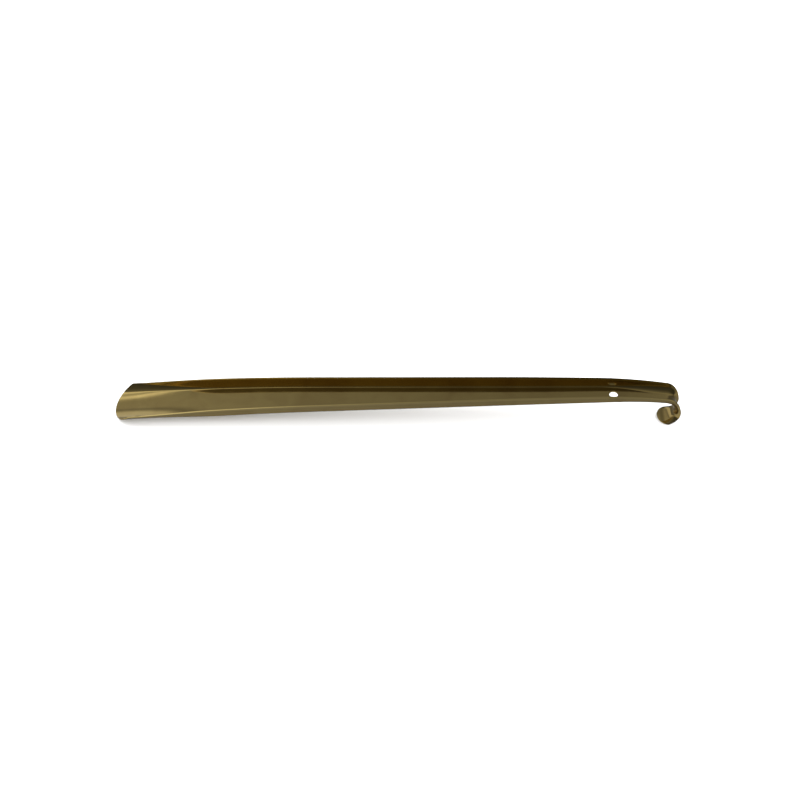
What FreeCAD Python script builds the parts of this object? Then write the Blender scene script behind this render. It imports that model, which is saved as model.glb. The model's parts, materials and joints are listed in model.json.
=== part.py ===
# Long shoehorn, pressed from one strip of polished brass sheet.
# Units are millimetres. It lies on its back as on a table: the blade tip is at -X, the hook
# at +X, the channel opens towards +Z, and the lowest points of blade and hook are at z = 0.

import FreeCAD, Part
import math
import os

Vector = FreeCAD.Vector

# Overall sizes
overall_length = 520.0       # blade tip to the outside of the hook
blade_width = 46.4           # over the rims, at the tip before its corners are rounded
handle_width = 23.2          # over the rims, where the hook begins
sheet_thickness = 1.2

# Back line, from the tip to the end of the tongue, as a chain of tangent arcs
tip_slope = 7.05             # degrees that the blade rises off the table at its tip
bow_length = 183.0           # the blade and the start of the shank bow over
bow_turn = 4.6               # degrees
lead_length = 64.0           # the shank dips before the hook
lead_turn = 10.3             # degrees
hook_radius = 11.2           # from the hook's centre to the middle of the sheet
hook_turn = 194.0            # degrees, from the end of the shank to the end of the tongue

# Channel section
wall_height = 10.15          # along the shank, from the floor's edge to the rim
wall_angle = 77.0            # degrees, walls of the shank against its floor
corner_radius = 1.8          # shank, between floor and wall, at the middle of the sheet
floor_dish = 3.0             # slope of the dished floor at its edge, in degrees

# The blade's section at its tip, and how far from the tip the shank's section is reached
tip_wall_height = 5.7
tip_wall_angle = 66.5
tip_corner_radius = 11.0
tip_floor_dish = 21.4
blade_length = 102.0

# The handle, before the hook, where the walls get lower
handle_length = 151.0

# The hook's sections: where it begins, a quarter of the way round and at the tongue
bend_wall_height = 8.4
bend_corner_radius = 7.6
hook_narrowing = 0.8         # share of the first quarter over which the hook draws in
quarter_width = 20.9
quarter_wall_height = 4.1
quarter_wall_angle = 58.0
tongue_width = 25.0
tongue_wall_height = 0.9

# Rounded ends, each a wide end arc between two corner arcs
tip_round_length = 17.1
tip_corner_round = 14.0
tongue_round_length = 11.0
tongue_corner_round = 9.5
largest_corner_share = 0.9   # of an end's length or half width that a corner arc may take

# Hang hole through the floor of the channel
hang_hole_diameter = 8.0
hang_hole_to_bend = 48.3     # hole centre back from where the hook begins

# How closely the lofts follow the arcs
shank_step = 14.0            # millimetres between sections
hook_step = 11.0             # degrees between sections


def arc_move(x, z, heading, length, turn):
    """The point and heading after an arc of this length that turns by this many degrees."""
    turned = math.radians(turn)
    chord = length
    if turned != 0.0:
        chord = 2.0 * length / turned * math.sin(turned / 2.0)
    middle = heading + turned / 2.0
    return x + chord * math.cos(middle), z + chord * math.sin(middle), heading + turned


def half_section(half, height, angle, corner, floor_slope, offset):
    """Points of one side, at an offset from the middle of the sheet towards its inside."""
    edge = sheet_thickness / 2.0
    dish = math.radians(floor_slope)
    # A low wall is all corner, and ends before it has risen to its full angle.
    steepest = math.acos(max(0.0, math.cos(dish) - (height - edge) / corner))
    rise = min(math.radians(angle), steepest)
    wall = (height - corner * (math.cos(dish) - math.cos(rise))) / math.sin(rise) - edge
    wall = max(wall, edge / 2.0)
    floor_half = half - corner * (math.sin(rise) - math.sin(dish)) - wall * math.cos(rise)
    floor_radius = floor_half / math.sin(dish)
    corner_y = floor_half - corner * math.sin(dish)
    corner_z = floor_radius * (1.0 - math.cos(dish)) + corner * math.cos(dish)

    def on_corner(slope):
        return (corner_y + (corner - offset) * math.sin(slope),
                corner_z - (corner - offset) * math.cos(slope))

    floor_end = on_corner(dish)
    corner_middle = on_corner((dish + rise) / 2.0)
    wall_start = on_corner(rise)
    wall_end = (wall_start[0] + wall * math.cos(rise), wall_start[1] + wall * math.sin(rise))
    crest = (corner_y + corner * math.sin(rise) + (wall + edge) * math.cos(rise),
             corner_z - corner * math.cos(rise) + (wall + edge) * math.sin(rise))
    return floor_end, corner_middle, wall_start, wall_end, crest


# The straight stretch of the shank takes up whatever length the arcs and the hook leave.
tip = (-overall_length / 2.0, sheet_thickness / 2.0, math.radians(tip_slope))
bow_end = arc_move(*tip, bow_length, -bow_turn)
lead_reach, _, bend_heading = arc_move(0.0, 0.0, bow_end[2], lead_length, -lead_turn)
quarter_half = (quarter_width - sheet_thickness) / 2.0
quarter_sizes = (quarter_half, quarter_wall_height, quarter_wall_angle, bend_corner_radius, floor_dish)
quarter_crest = half_section(*quarter_sizes, 0.0)[-1]
hook_reach = hook_radius * (1.0 + math.sin(bend_heading)) + quarter_crest[1]
straight_reach = overall_length / 2.0 - hook_reach - lead_reach - bow_end[0]
straight_length = straight_reach / math.cos(bow_end[2])

bend_start = bow_length + straight_length + lead_length
hook_end = bend_start + hook_radius * math.radians(hook_turn)
back_line = [(bow_length, -bow_turn), (straight_length, 0.0), (lead_length, -lead_turn),
             (hook_end - bend_start, -hook_turn)]


def spine(distance):
    """Point and heading on the back line at a distance from the tip along the sheet."""
    x, z, heading = tip
    for length, turn in back_line:
        step = min(distance, length)
        x, z, heading = arc_move(x, z, heading, step, turn * step / length)
        distance -= step
        if distance <= 0.0:
            break
    return x, z, heading


def ease(start, end, share):
    """A value that leaves start and reaches end with no slope."""
    share = max(0.0, min(1.0, share))
    return start + (end - start) * share * share * (3.0 - 2.0 * share)


def section_sizes(distance):
    """Half width, wall height, wall angle, corner radius and dish, at the middle of the sheet."""
    edge = sheet_thickness / 2.0
    if distance <= bend_start:
        half = (blade_width + (handle_width - blade_width) * distance / bend_start) / 2.0 - edge
        into_shank = distance / blade_length
        into_handle = (distance - bend_start + handle_length) / handle_length
        into_lead = (distance - bend_start + lead_length) / lead_length
        height = ease(tip_wall_height, wall_height, into_shank)
        height = ease(height, bend_wall_height, into_handle)
        angle = ease(tip_wall_angle, wall_angle, into_shank)
        corner = ease(tip_corner_radius, corner_radius, into_shank)
        corner = ease(corner, bend_corner_radius, into_lead)
        dish = ease(tip_floor_dish, floor_dish, into_shank)
        return half, height, angle, corner, dish
    quarters = (distance - bend_start) / (hook_radius * math.pi / 2.0)
    if quarters <= 1.0:
        drawn_in = quarters / hook_narrowing
        half = ease(handle_width, quarter_width, drawn_in) / 2.0 - edge
        height = ease(bend_wall_height, quarter_wall_height, drawn_in)
        angle = ease(wall_angle, quarter_wall_angle, drawn_in)
    else:
        half = ease(quarter_width, tongue_width, quarters - 1.0) / 2.0 - edge
        height = ease(quarter_wall_height, tongue_wall_height, quarters - 1.0)
        angle = quarter_wall_angle
    return half, height, angle, bend_corner_radius, floor_dish


def section_wire(distance):
    """Closed outline of the sheet across the shoehorn, with round rims."""
    x, z, heading = spine(distance)
    sizes = section_sizes(distance)

    def place(side, point):
        across, up = point
        return Vector(x - up * math.sin(heading), side * across, z + up * math.cos(heading))

    edges = []
    ends = []
    for offset in (sheet_thickness / 2.0, -sheet_thickness / 2.0):
        points = half_section(*sizes, offset)
        floor_end, corner_middle, wall_start, wall_end, crest = points
        floor = Part.Arc(place(-1, floor_end), place(1, (0.0, offset)), place(1, floor_end))
        edges.append(floor.toShape())
        for side in (-1, 1):
            corner = Part.Arc(place(side, floor_end), place(side, corner_middle), place(side, wall_start))
            edges.append(corner.toShape())
            edges.append(Part.makeLine(place(side, wall_start), place(side, wall_end)))
        ends.append(wall_end)
    for side in (-1, 1):
        rim = Part.Arc(place(side, ends[0]), place(side, crest), place(side, ends[1]))
        edges.append(rim.toShape())
    return Part.Wire(Part.__sortEdges__(edges))


def loft_between(start, end, count):
    """Solid sheet through evenly spaced sections."""
    wires = [section_wire(start + (end - start) * i / count) for i in range(count + 1)]
    return Part.makeLoft(wires, True, False)


def rounded_end_outside(half, length, corner_round, reach):
    """The waste around a rounded end, as a face on z = 0 with the end at x = 0, the sheet at +X."""
    corner_round = min(corner_round, largest_corner_share * min(length, half))
    centre_y = half - corner_round
    squares = length ** 2 + centre_y ** 2 - corner_round ** 2
    end_radius = squares / (2.0 * (length - corner_round))
    lean = math.atan2(centre_y, end_radius - length)

    def on_end(angle):
        return Vector(end_radius * (1.0 - math.cos(angle)), end_radius * math.sin(angle), 0.0)

    def on_round(side, angle):
        return Vector(length - corner_round * math.cos(angle),
                      side * (centre_y + corner_round * math.sin(angle)), 0.0)

    square = math.pi / 2.0
    middle = (lean + square) / 2.0
    left = Vector(length, -half, 0.0)
    right = Vector(length, half, 0.0)
    outside = [right, Vector(length, half + reach, 0.0), Vector(-reach, half + reach, 0.0),
               Vector(-reach, -half - reach, 0.0), Vector(length, -half - reach, 0.0), left]
    edges = [Part.makeLine(outside[i], outside[i + 1]) for i in range(len(outside) - 1)]
    edges.append(Part.Arc(left, on_round(-1, middle), on_round(-1, lean)).toShape())
    edges.append(Part.Arc(on_end(-lean), on_end(0.0), on_end(lean)).toShape())
    edges.append(Part.Arc(on_round(1, lean), on_round(1, middle), right).toShape())
    return Part.Face(Part.Wire(Part.__sortEdges__(edges)))


def cut_tip(sheet):
    """Round the blade's tip."""
    half = section_sizes(0.0)[0] + sheet_thickness / 2.0
    reach = blade_width
    waste = rounded_end_outside(half, tip_round_length, tip_corner_round, reach)
    waste = waste.extrude(Vector(0.0, 0.0, 2.0 * reach))
    waste.translate(Vector(-overall_length / 2.0, 0.0, -reach))
    return sheet.cut(waste)


def cut_tongue(sheet):
    """Round the tongue at the end of the hook, with a cutter that stays below the shank."""
    x, z, heading = spine(hook_end)
    reach = hook_radius - sheet_thickness
    waste = rounded_end_outside(tongue_width / 2.0, tongue_round_length, tongue_corner_round, reach)
    waste = waste.extrude(Vector(0.0, 0.0, 2.0 * reach))
    waste.translate(Vector(x, 0.0, z - reach))
    return sheet.cut(waste)


def cut_hang_hole(sheet):
    """Punch the hang hole square to the floor of the channel."""
    x, z, heading = spine(bend_start - hang_hole_to_bend)
    axis = Vector(-math.sin(heading), 0.0, math.cos(heading))
    start = Vector(x, 0.0, z) - axis * wall_height
    punch = Part.makeCylinder(hang_hole_diameter / 2.0, 2.0 * wall_height, start, axis)
    return sheet.cut(punch)


shank_sections = math.ceil(bend_start / shank_step)
hook_sections = math.ceil(hook_turn / hook_step)
long_sheet = loft_between(0.0, bend_start, shank_sections)
hook_sheet = loft_between(bend_start, hook_end, hook_sections)
shoehorn = long_sheet.fuse(hook_sheet)
shoehorn = cut_tip(shoehorn)
shoehorn = cut_tongue(shoehorn)
shoehorn = cut_hang_hole(shoehorn)
shoehorn = shoehorn.Solids[0]

# Set it down with its lowest point on the table and its length centred.
box = shoehorn.optimalBoundingBox(False, False)
shoehorn.translate(Vector(-(box.XMin + box.XMax) / 2.0, 0.0, -box.ZMin))

os.makedirs("parts", exist_ok=True)
shoehorn.exportStep("parts/shoehorn_body.step")
print("box", shoehorn.optimalBoundingBox(False, False))
print("volume", shoehorn.Volume, "valid", shoehorn.isValid())
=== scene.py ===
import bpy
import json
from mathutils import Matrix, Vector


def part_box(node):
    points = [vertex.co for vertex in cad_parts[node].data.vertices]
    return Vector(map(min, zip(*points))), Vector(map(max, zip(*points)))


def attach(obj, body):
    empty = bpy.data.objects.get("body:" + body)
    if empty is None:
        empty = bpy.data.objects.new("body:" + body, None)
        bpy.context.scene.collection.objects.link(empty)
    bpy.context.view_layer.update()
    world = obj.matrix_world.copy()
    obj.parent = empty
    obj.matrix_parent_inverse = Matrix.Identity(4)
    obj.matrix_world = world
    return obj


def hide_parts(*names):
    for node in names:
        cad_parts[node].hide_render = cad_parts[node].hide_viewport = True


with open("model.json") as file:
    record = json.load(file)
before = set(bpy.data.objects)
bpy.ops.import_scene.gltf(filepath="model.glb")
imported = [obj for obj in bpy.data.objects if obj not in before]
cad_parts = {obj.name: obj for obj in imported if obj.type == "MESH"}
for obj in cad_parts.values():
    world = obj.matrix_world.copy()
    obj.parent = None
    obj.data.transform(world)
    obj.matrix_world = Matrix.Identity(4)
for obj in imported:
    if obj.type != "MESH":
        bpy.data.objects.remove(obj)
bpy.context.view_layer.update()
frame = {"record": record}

import json
import math

import bmesh
import bpy
from mathutils import Matrix, Vector

# The shoehorn itself.
# One strip of brass sheet: the blank is cut with rounded ends and punched for the hang hole,
# pressed into a channel, its end is curled over into the hook, and the edges are rounded.

MM = 0.001
OVERALL_LENGTH = 520.0
SHEET = 1.2
BLADE_WIDTH = 46.4
HANDLE_WIDTH = 23.2

# The line of the back, as tangent arcs from the tip: length in millimetres and turn in degrees.
TIP_SLOPE = 7.05
BOW = (183.0, -4.6)
LEAD = (64.0, -10.3)
HOOK_RADIUS = 11.2
HOOK_TURN = 194.0

# The channel by place: wall height over the floor's edge, wall angle in degrees, corner radius,
# and the slope of the dished floor at its edge in degrees.
TIP_SECTION = (5.7, 66.5, 11.0, 21.4)
SHANK_SECTION = (10.15, 77.0, 1.8, 3.0)
BEND_SECTION = (8.4, 77.0, 7.6, 3.0)
QUARTER_SECTION = (4.1, 58.0, 7.6, 3.0)
TONGUE_SECTION = (0.9, 58.0, 7.6, 3.0)
QUARTER_WIDTH = 20.9
TONGUE_WIDTH = 25.0
BLADE_LENGTH = 102.0
HANDLE_LENGTH = 151.0
HOOK_NARROWING = 0.8

# The rounded ends: length and corner radius.
TIP_ROUND = (17.1, 14.0)
TONGUE_ROUND = (11.0, 9.5)

HOLE_RADIUS = 4.0
HOLE_TO_BEND = 48.3


def along_arc(start, length, turn):
    """Point and heading after an arc of this length that turns by this many degrees."""
    x, z, heading = start
    turned = math.radians(turn)
    chord = length
    if abs(turned) > 1e-9:
        chord = 2.0 * length / turned * math.sin(turned / 2.0)
    middle = heading + turned / 2.0
    return x + chord * math.cos(middle), z + chord * math.sin(middle), heading + turned


tip_point = (-OVERALL_LENGTH / 2.0, SHEET / 2.0, math.radians(TIP_SLOPE))
bow_end = along_arc(tip_point, *BOW)
lead_reach, _, bend_heading = along_arc((0.0, 0.0, bow_end[2]), *LEAD)
hook_reach = HOOK_RADIUS * (1.0 + math.sin(bend_heading)) + QUARTER_SECTION[0]
straight = (OVERALL_LENGTH / 2.0 - hook_reach - lead_reach - bow_end[0]) / math.cos(bow_end[2])
BEND_START = BOW[0] + straight + LEAD[0]
HOOK_LENGTH = HOOK_RADIUS * math.radians(HOOK_TURN)
BACK_LINE = [BOW, (straight, 0.0), LEAD, (HOOK_LENGTH, -HOOK_TURN)]
SHEET_LENGTH = BEND_START + HOOK_LENGTH


def back_line(distance):
    """Point and heading of the back at a distance from the tip along the sheet."""
    place = tip_point
    for length, turn in BACK_LINE:
        step = min(distance, length)
        place = along_arc(place, step, turn * step / length)
        distance -= step
        if distance <= 0.0:
            break
    return place


def ease(start, end, share):
    """A value that leaves start and reaches end with no slope."""
    share = max(0.0, min(1.0, share))
    return start + (end - start) * share * share * (3.0 - 2.0 * share)


def ease_section(start, end, share):
    return [ease(a, b, share) for a, b in zip(start, end)]


def section_sizes(distance):
    """Half width to the rim's middle, wall height, wall angle, corner radius and dish."""
    if distance <= BEND_START:
        width = BLADE_WIDTH + (HANDLE_WIDTH - BLADE_WIDTH) * distance / BEND_START
        height, angle, corner, dish = ease_section(TIP_SECTION, SHANK_SECTION, distance / BLADE_LENGTH)
        height = ease(height, BEND_SECTION[0], (distance - BEND_START + HANDLE_LENGTH) / HANDLE_LENGTH)
        corner = ease(corner, BEND_SECTION[2], (distance - BEND_START + LEAD[0]) / LEAD[0])
        return width / 2.0 - SHEET / 2.0, height, angle, corner, dish
    quarters = (distance - BEND_START) / (HOOK_RADIUS * math.pi / 2.0)
    width = ease(HANDLE_WIDTH, QUARTER_WIDTH, quarters / HOOK_NARROWING)
    sizes = ease_section(BEND_SECTION, QUARTER_SECTION, quarters / HOOK_NARROWING)
    if quarters > 1.0:
        width = ease(QUARTER_WIDTH, TONGUE_WIDTH, quarters - 1.0)
        sizes = ease_section(QUARTER_SECTION, TONGUE_SECTION, quarters - 1.0)
    return [width / 2.0 - SHEET / 2.0] + list(sizes)


def channel(distance):
    """One half of the channel's section here: floor, corner radius, wall and their slopes."""
    half, height, angle, corner, dish = section_sizes(distance)
    edge = SHEET / 2.0
    dish = math.radians(dish)
    steepest = math.acos(max(0.0, math.cos(dish) - (height - edge) / corner))
    rise = min(math.radians(angle), steepest)
    wall = (height - corner * (math.cos(dish) - math.cos(rise))) / math.sin(rise)
    wall = max(wall, 1.5 * edge)
    floor_half = half - corner * (math.sin(rise) - math.sin(dish)) - (wall - edge) * math.cos(rise)
    return floor_half, dish, corner, rise, wall


def girths(parts):
    """How far round the section its floor, its corner and its rim end."""
    floor_half, dish, corner, rise, wall = parts
    floor_girth = floor_half / math.sin(dish) * dish
    corner_end = floor_girth + corner * (rise - dish)
    return floor_girth, corner_end, corner_end + wall


def across(parts, girth):
    """Sideways and upward place of a point this far round the section from its middle."""
    floor_half, dish, corner, rise, wall = parts
    floor_radius = floor_half / math.sin(dish)
    floor_girth, corner_end, _ = girths(parts)
    if girth <= floor_girth:
        turned = girth / floor_radius
        return floor_radius * math.sin(turned), floor_radius * (1.0 - math.cos(turned))
    turned = dish + (min(girth, corner_end) - floor_girth) / corner
    side = floor_half + corner * (math.sin(turned) - math.sin(dish))
    up = floor_radius * (1.0 - math.cos(dish)) + corner * (math.cos(dish) - math.cos(turned))
    rest = max(0.0, girth - corner_end)
    return side + rest * math.cos(rise), up + rest * math.sin(rise)


def spread(share, parts):
    """Rows of the grid are shared out: the floor, the tight corner, then the wall."""
    stops = (0.0,) + girths(parts)
    marks = (0.0, 0.42, 0.74, 1.0)
    for i in range(3):
        if share <= marks[i + 1]:
            return stops[i] + (stops[i + 1] - stops[i]) * (share - marks[i]) / (marks[i + 1] - marks[i])
    return stops[3]


def end_outline(half, length, corner):
    """Functions for a rounded end: setback at a side place, and half width at a setback."""
    centre_y = half - corner
    end_radius = (length ** 2 + centre_y ** 2 - corner ** 2) / (2.0 * (length - corner))
    lean = math.atan2(centre_y, end_radius - length)

    def setback(side):
        side = min(abs(side), half)
        if side <= end_radius * math.sin(lean):
            return end_radius - math.sqrt(end_radius ** 2 - side ** 2)
        return length - math.sqrt(max(0.0, corner ** 2 - (side - centre_y) ** 2))

    def half_width(back):
        if back >= length:
            return half
        if back < end_radius * (1.0 - math.cos(lean)):
            return math.sqrt(max(0.0, end_radius ** 2 - (end_radius - back) ** 2))
        return centre_y + math.sqrt(max(0.0, corner ** 2 - (length - back) ** 2))

    return setback, half_width


def side_to_girth(parts, side):
    """The girth at which the section stands this far to the side."""
    low, high = 0.0, girths(parts)[2]
    for _ in range(30):
        middle = (low + high) / 2.0
        if across(parts, middle)[0] < side:
            low = middle
        else:
            high = middle
    return high


blade_half = BLADE_WIDTH / 2.0 - SHEET / 2.0
tongue_half_width = TONGUE_WIDTH / 2.0 - SHEET / 2.0
tip_setback, tip_half = end_outline(blade_half, *TIP_ROUND)
tongue_setback, tongue_half = end_outline(tongue_half_width, *TONGUE_ROUND)

ACROSS_COUNT = 72            # columns of the grid, from rim to rim
HOLE_ROWS = 5                # half the rows of the grid that the hole takes out
HOLE_COLUMNS = 6             # and half the columns
HOLE_SPREAD = 2.2            # the grid is drawn round the hole as far as this many times its size
TIP_MEET = 0.80              # share of the half width at which end and sides of the grid meet
TIP_BLEND = 34.0             # millimetres over which the curved end rows straighten out
TONGUE_BLEND = 13.0
GLINT_ROWS = 3                # steps of the grid over which the painted highlight on the cut edges fades

start_row = tip_setback(TIP_MEET * blade_half)
end_row = SHEET_LENGTH - tongue_setback(TIP_MEET * tongue_half_width)
hole_row = BEND_START - HOLE_TO_BEND
# Rows of the grid and where they lie: closer at the tip, the hole and the hook.
ROW_STOPS = [(0, start_row), (42, 25.0), (84, 60.0), (374, hole_row - 12.0), (404, hole_row + 12.0),
             (414, BEND_START - 20.0), (510, end_row)]
ROW_COUNT = ROW_STOPS[-1][0]
HOLE_MIDDLE = 389            # the row through the hole's centre


def row_place(row):
    """Distance of a row at the rim from the tip along the sheet."""
    for (first, start), (last, end) in zip(ROW_STOPS, ROW_STOPS[1:]):
        if row <= last:
            return start + (end - start) * (row - first) / (last - first)
    return end_row


def draw_round_hole(row, column, distance, girth):
    """Rows and columns near the hang hole bow out round it."""
    a, b = (row - HOLE_MIDDLE) / HOLE_ROWS, column / HOLE_COLUMNS
    ring = max(abs(a), abs(b))
    if ring >= HOLE_SPREAD or ring == 0.0:
        return distance, girth
    a, b = a / ring, b / ring
    round_a = a * math.sqrt(1.0 - b * b / 2.0) * HOLE_RADIUS * ring
    round_b = b * math.sqrt(1.0 - a * a / 2.0) * HOLE_RADIUS * ring
    share = (ring - 1.0) / (HOLE_SPREAD - 1.0)
    return ease(hole_row + round_a, distance, share), ease(round_b, girth, share)


def press(row, column):
    """Distance, sideways and upward place of a point of the grid on the pressed sheet."""
    rim_row = row_place(row)
    share = abs(column) / (ACROSS_COUNT / 2)
    rim_parts = channel(rim_row)
    rim_girth = girths(rim_parts)[2]
    if rim_row < TIP_ROUND[0]:
        rim_girth = side_to_girth(rim_parts, tip_half(rim_row))
    if rim_row > SHEET_LENGTH - TONGUE_ROUND[0]:
        rim_girth = side_to_girth(rim_parts, tongue_half(SHEET_LENGTH - rim_row))
    girth = math.copysign(spread(share, rim_parts) * rim_girth / girths(rim_parts)[2], column)
    side = across(rim_parts, abs(girth))[0]
    bulge = 0.0
    if rim_row < start_row + TIP_BLEND:
        fade = ease(1.0, 0.0, (rim_row - start_row) / TIP_BLEND)
        bulge = (tip_setback(min(side, tip_half(start_row))) - start_row) * fade
    if rim_row > end_row - TONGUE_BLEND:
        fade = ease(0.0, 1.0, (rim_row - end_row + TONGUE_BLEND) / TONGUE_BLEND)
        reach = SHEET_LENGTH - end_row
        bulge = (reach - tongue_setback(min(side, tongue_half(reach)))) * fade
    distance, girth = draw_round_hole(row, column, rim_row + bulge, girth)
    sideways, up = across(channel(distance), abs(girth))
    return distance, math.copysign(sideways, girth), up


hole_x, hole_z, _ = back_line(hole_row)
hang_hole = [mount for mount in frame["record"]["mounts"] if mount["name"] == "hang_hole"][0]
set_down = Vector(hang_hole["pos_m"]) - Vector((hole_x, 0.0, hole_z)) * MM


def place_on_back(distance, sideways, up):
    """A point of the pressed sheet, on the table, from its place along, across and over the back."""
    x, z, heading = back_line(distance)
    return Vector((x - up * math.sin(heading), sideways, z + up * math.cos(heading))) * MM + set_down


strip = bmesh.new()
bmesh.ops.create_grid(strip, x_segments=ROW_COUNT, y_segments=ACROSS_COUNT, size=0.5)
bmesh.ops.scale(strip, vec=(ROW_COUNT, ACROSS_COUNT, 1.0), verts=strip.verts)
bmesh.ops.translate(strip, vec=(ROW_COUNT / 2, 0.0, 0.0), verts=strip.verts)
punched = []
for face in strip.faces:
    centre = face.calc_center_median()
    if abs(centre.x - HOLE_MIDDLE) < HOLE_ROWS and abs(centre.y) < HOLE_COLUMNS:
        punched.append(face)
bmesh.ops.delete(strip, geom=punched, context="FACES")
# Each point's share of the painted highlight along the cut edges: full at the outline, fading inward.
painted_edge_highlight = strip.verts.layers.float.new("painted_edge_highlight")
for vert in strip.verts:
    row, column = round(vert.co.x), round(vert.co.y)
    to_edge = min(ACROSS_COUNT / 2 - abs(column), row, ROW_COUNT - row)
    vert[painted_edge_highlight] = max(0.0, 1.0 - to_edge / GLINT_ROWS)
    vert.co = place_on_back(*press(row, column))
bmesh.ops.recalc_face_normals(strip, faces=strip.faces)

mesh = bpy.data.meshes.new("polished_sheet")
strip.to_mesh(mesh)
strip.free()
shoehorn = bpy.data.objects.new("polished_shoehorn", mesh)
bpy.context.scene.collection.objects.link(shoehorn)

RIM_ROUND = 0.3              # share of the sheet's thickness that each edge is rounded by
solid = shoehorn.modifiers.new("sheet", "SOLIDIFY")
solid.thickness = SHEET * MM
solid.offset = 0.0
bevel = shoehorn.modifiers.new("rims", "BEVEL")
bevel.width = RIM_ROUND * SHEET * MM
bevel.segments = 3
bevel.limit_method = "ANGLE"
bevel.angle_limit = math.radians(60.0)
for face in mesh.polygons:
    face.use_smooth = True

# Rounding the edges and laying the outline in rows leaves parts of a millimetre too much,
# so the sheet is drawn in until it lies just inside the designed size.
SLACK = 0.02 * MM
bpy.context.view_layer.update()
finished = shoehorn.evaluated_get(bpy.context.evaluated_depsgraph_get()).data
cad_low, cad_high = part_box("shoehorn_body")
for axis in range(3):
    places = [vert.co[axis] for vert in finished.vertices]
    room = cad_high[axis] - cad_low[axis] - 2.0 * SLACK
    shrink = min(1.0, room / (max(places) - min(places)))
    shift = (cad_low[axis] + cad_high[axis]) / 2.0 - (max(places) + min(places)) / 2.0 * shrink
    for vert in mesh.vertices:
        vert.co[axis] = vert.co[axis] * shrink + shift

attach(shoehorn, "root")
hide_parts("shoehorn_body")


def linear(code):
    """Turn an sRGB hex colour to the linear values that a shader takes."""
    parts = [int(code[i:i + 2], 16) / 255.0 for i in (1, 3, 5)]
    return [p / 12.92 if p <= 0.04045 else ((p + 0.055) / 1.055) ** 2.4 for p in parts] + [1.0]


def add_node(tree, kind, settings=None, links=None):
    """Add one node, with its settings or socket values, and link sockets into it."""
    node = tree.nodes.new(kind)
    for name, value in (settings or {}).items():
        if isinstance(name, str) and hasattr(node, name):
            setattr(node, name, value)
        else:
            node.inputs[name].default_value = value
    for name, source in (links or {}).items():
        tree.links.new(source, node.inputs[name])
    return node


# Polished brass under a thin clear lacquer. It mirrors the studio in a warm, slightly drawn-out way:
# polishing lines of about 1 mm run along the piece, faint smudges of 14 mm dull the shine,
# tarnish clouds of 30 mm darken it a little, and a painted highlight brightens the cut edges.
LINES_PER_METRE = 900.0
LINES_DRAWN_OUT = 14.0
SMUDGES_PER_METRE = 70.0
CLOUDS_PER_METRE = 33.0
brass = bpy.data.materials.new("polished_brass")
brass.use_nodes = True
tree = brass.node_tree
place = add_node(tree, "ShaderNodeTexCoord").outputs["Object"]
stretch = add_node(tree, "ShaderNodeMapping",
                   {"Scale": (LINES_DRAWN_OUT, LINES_PER_METRE, LINES_PER_METRE)}, {"Vector": place})
lines = add_node(tree, "ShaderNodeTexNoise", {"Scale": 1.0, "Detail": 3.0},
                 {"Vector": stretch.outputs["Vector"]})
smudges = add_node(tree, "ShaderNodeTexNoise",
                   {"Scale": SMUDGES_PER_METRE, "Detail": 4.0, "Distortion": 0.6}, {"Vector": place})
clouds = add_node(tree, "ShaderNodeTexNoise",
                  {"Scale": CLOUDS_PER_METRE, "Detail": 5.0, "Distortion": 0.8}, {"Vector": place})
# Share of the painted highlight along the cut edges, as stored on the mesh.
rim_glint = add_node(tree, "ShaderNodeAttribute", {"attribute_name": "painted_edge_highlight"})
cloudy = add_node(tree, "ShaderNodeMapRange",
                  {"From Min": 0.42, "From Max": 0.75, "To Min": 0.0, "To Max": 0.55},
                  {"Value": clouds.outputs["Fac"]})
tarnished = add_node(tree, "ShaderNodeMix",
                     {"data_type": "RGBA", 6: linear("#BBA463"), 7: linear("#A2874C")},
                     {0: cloudy.outputs["Result"]})
# The painted highlight: the cut edges are mixed toward a brighter brass colour.
coloured = add_node(tree, "ShaderNodeMix", {"data_type": "RGBA", 7: linear("#CBB574")},
                    {0: rim_glint.outputs["Fac"], 6: tarnished.outputs[2]})
smudged = add_node(tree, "ShaderNodeMapRange",
                   {"From Min": 0.45, "From Max": 0.72, "To Min": 0.055, "To Max": 0.13},
                   {"Value": smudges.outputs["Fac"]})
lined = add_node(tree, "ShaderNodeMapRange",
                 {"From Min": 0.4, "From Max": 0.7, "To Min": 0.0, "To Max": 0.05},
                 {"Value": lines.outputs["Fac"]})
dull = add_node(tree, "ShaderNodeMath", {"operation": "ADD"},
                {0: smudged.outputs["Result"], 1: lined.outputs["Result"]})
relief = add_node(tree, "ShaderNodeBump", {"Strength": 0.12, "Distance": 0.00002},
                  {"Height": lines.outputs["Fac"]})
shader = tree.nodes["Principled BSDF"]
shader.inputs["Metallic"].default_value = 1.0
shader.inputs["Coat Weight"].default_value = 0.5
shader.inputs["Coat Roughness"].default_value = 0.08
tree.links.new(coloured.outputs[2], shader.inputs["Base Color"])
tree.links.new(dull.outputs["Value"], shader.inputs["Roughness"])
tree.links.new(relief.outputs["Normal"], shader.inputs["Normal"])
mesh.materials.append(brass)

# The stage: a pale floor that fills the view.
floor_mesh = bpy.data.meshes.new("floor")
floor_shape = bmesh.new()
bmesh.ops.create_grid(floor_shape, x_segments=1, y_segments=1, size=6.0)
floor_shape.to_mesh(floor_mesh)
floor_shape.free()
floor = bpy.data.objects.new("pale_floor", floor_mesh)
bpy.context.scene.collection.objects.link(floor)
floor_paint = bpy.data.materials.new("pale_floor_paint")
floor_paint.use_nodes = True
floor_shader = floor_paint.node_tree.nodes["Principled BSDF"]
floor_shader.inputs["Base Color"].default_value = linear("#F2F2F2")
floor_shader.inputs["Roughness"].default_value = 1.0
floor_shader.inputs["Specular IOR Level"].default_value = 0.0
floor_mesh.materials.append(floor_paint)
floor.visible_glossy = False

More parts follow.
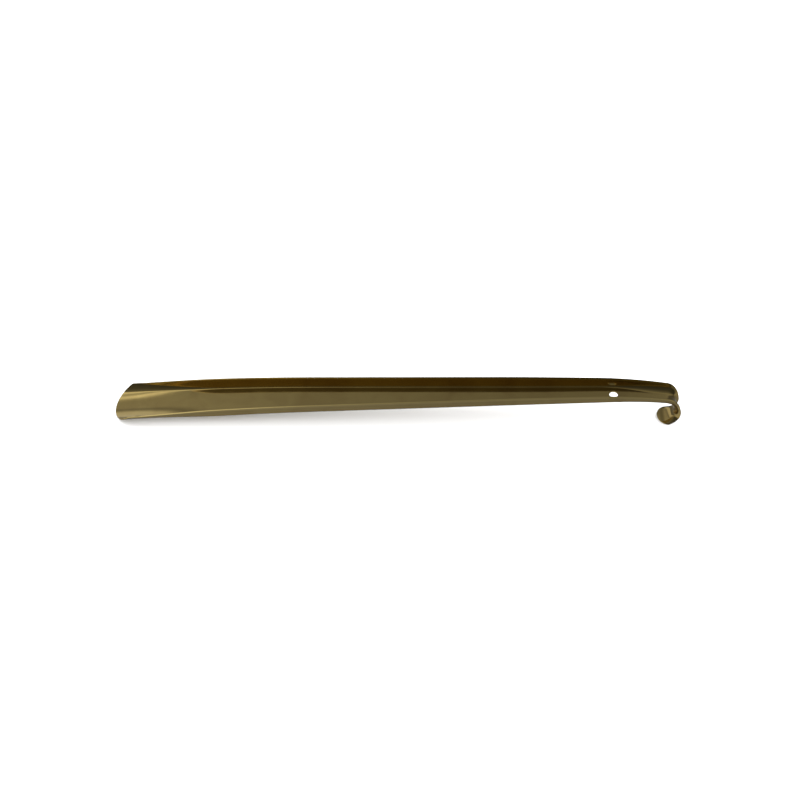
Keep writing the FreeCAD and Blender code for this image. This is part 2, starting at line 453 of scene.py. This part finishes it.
# The studio round it: its light changes with the height over the horizon and from side to side.
world = bpy.data.worlds.new("studio")
bpy.context.scene.world = world
world.use_nodes = True
sky = world.node_tree
direction = add_node(sky, "ShaderNodeTexCoord")
split = add_node(sky, "ShaderNodeSeparateXYZ", links={"Vector": direction.outputs["Generated"]})
toward = add_node(sky, "ShaderNodeMath", {"operation": "MULTIPLY", 1: -1.0}, {0: split.outputs["Y"]})
round_angle = add_node(sky, "ShaderNodeMath", {"operation": "ARCTAN2"},
                       {0: split.outputs["Z"], 1: toward.outputs["Value"]})
# Degrees over the front horizon, and how bright the studio is there: dim all round, with a
# paler stretch overhead and a dark one in front.
STUDIO = [(-180, 0.16), (-150, 0.20), (-120, 0.38), (-90, 0.40), (-60, 0.56), (-30, 0.60),
          (-12, 0.14), (0, 0.07), (50, 0.10), (76, 0.18), (100, 0.32), (106, 0.50), (112, 0.50),
          (120, 0.38), (140, 0.40), (150, 0.16), (180, 0.16)]
# The same for two strip lamps overhead and a low one behind, at the blade's end of the table.
LAMPS = [(-180, 0.0), (84, 0.0), (91, 0.90), (95, 0.88), (99, 0.22), (102, 0.22), (105, 0.70),
         (108, 0.62), (114, 0.0), (146, 0.0), (156, 0.55), (174, 0.55), (180, 0.0)]
# The studio falls off from the blade's end to the hook's end: sideways direction and share.
FALL_OFF = [(-1.0, 1.0), (-0.28, 1.0), (-0.16, 0.78), (-0.06, 0.62), (0.04, 0.52), (0.20, 0.52),
            (0.40, 0.68), (1.0, 0.70)]
LAMP_REACH = [(-1.0, 1.0), (-0.20, 1.0), (-0.11, 0.25), (-0.05, 0.0), (1.0, 0.0)]


def add_ramp(source, stops):
    """The grey level that the stops give for a value."""
    first, last = stops[0][0], stops[-1][0]
    placed = add_node(sky, "ShaderNodeMapRange", {"From Min": first, "From Max": last},
                      {"Value": source})
    ramp = add_node(sky, "ShaderNodeValToRGB", links={"Fac": placed.outputs["Result"]})
    elements = ramp.color_ramp.elements
    elements[0].color = (stops[0][1], stops[0][1], stops[0][1], 1.0)
    elements[-1].color = (stops[-1][1], stops[-1][1], stops[-1][1], 1.0)
    for at, level in stops[1:-1]:
        element = elements.new((at - first) / (last - first))
        element.color = (level, level, level, 1.0)
    return ramp.outputs["Color"]


degrees = add_node(sky, "ShaderNodeMath", {"operation": "DEGREES"}, {0: round_angle.outputs["Value"]})
height_level = add_ramp(degrees.outputs["Value"], STUDIO)
side_share = add_ramp(split.outputs["X"], FALL_OFF)
lamp_level = add_ramp(degrees.outputs["Value"], LAMPS)
lamp_share = add_ramp(split.outputs["X"], LAMP_REACH)
wall_light = add_node(sky, "ShaderNodeMix", {"data_type": "RGBA", "blend_type": "MULTIPLY", 0: 1.0},
                      {6: height_level, 7: side_share})
lamp_light = add_node(sky, "ShaderNodeMix", {"data_type": "RGBA", "blend_type": "MULTIPLY", 0: 1.0},
                      {6: lamp_level, 7: lamp_share})
studio_light = add_node(sky, "ShaderNodeMix", {"data_type": "RGBA", "blend_type": "ADD", 0: 1.0},
                        {6: wall_light.outputs[2], 7: lamp_light.outputs[2]})
sky.links.new(studio_light.outputs[2], sky.nodes["Background"].inputs["Color"])
bpy.context.scene.view_settings.view_transform = "Standard"

# A very wide, soft light from above keeps the floor pale under the piece.
sun_data = bpy.data.lights.new("sun", "SUN")
sun_data.energy = 6.5
sun_data.angle = math.radians(165.0)
sun = bpy.data.objects.new("sun", sun_data)
sun.rotation_euler = (math.radians(20.0), math.radians(10.0), 0.0)
sun.visible_glossy = False
bpy.context.scene.collection.objects.link(sun)

# The camera looks along the shoehorn's side from well above it.
CAMERA_UP = math.radians(44.935)
CAMERA_ROUND = math.radians(-0.135)
CAMERA_ROLL = math.radians(0.848)
CAMERA_DISTANCE = 1.684
camera_data = bpy.data.cameras.new("camera")
camera_data.lens = 82.5
camera_data.sensor_width = 36.0
camera = bpy.data.objects.new("camera", camera_data)
bpy.context.scene.collection.objects.link(camera)
target = Vector((0.0024, 0.0, 0.0167))
away = Vector((math.sin(CAMERA_ROUND) * math.cos(CAMERA_UP),
               -math.cos(CAMERA_ROUND) * math.cos(CAMERA_UP), math.sin(CAMERA_UP)))
camera.location = target + away * CAMERA_DISTANCE
facing = (-away).to_track_quat("-Z", "Y").to_matrix().to_4x4()
facing = facing @ Matrix.Rotation(CAMERA_ROLL, 4, "Z")
camera.rotation_euler = facing.to_euler()
bpy.context.scene.camera = camera

bpy.context.view_layer.update()
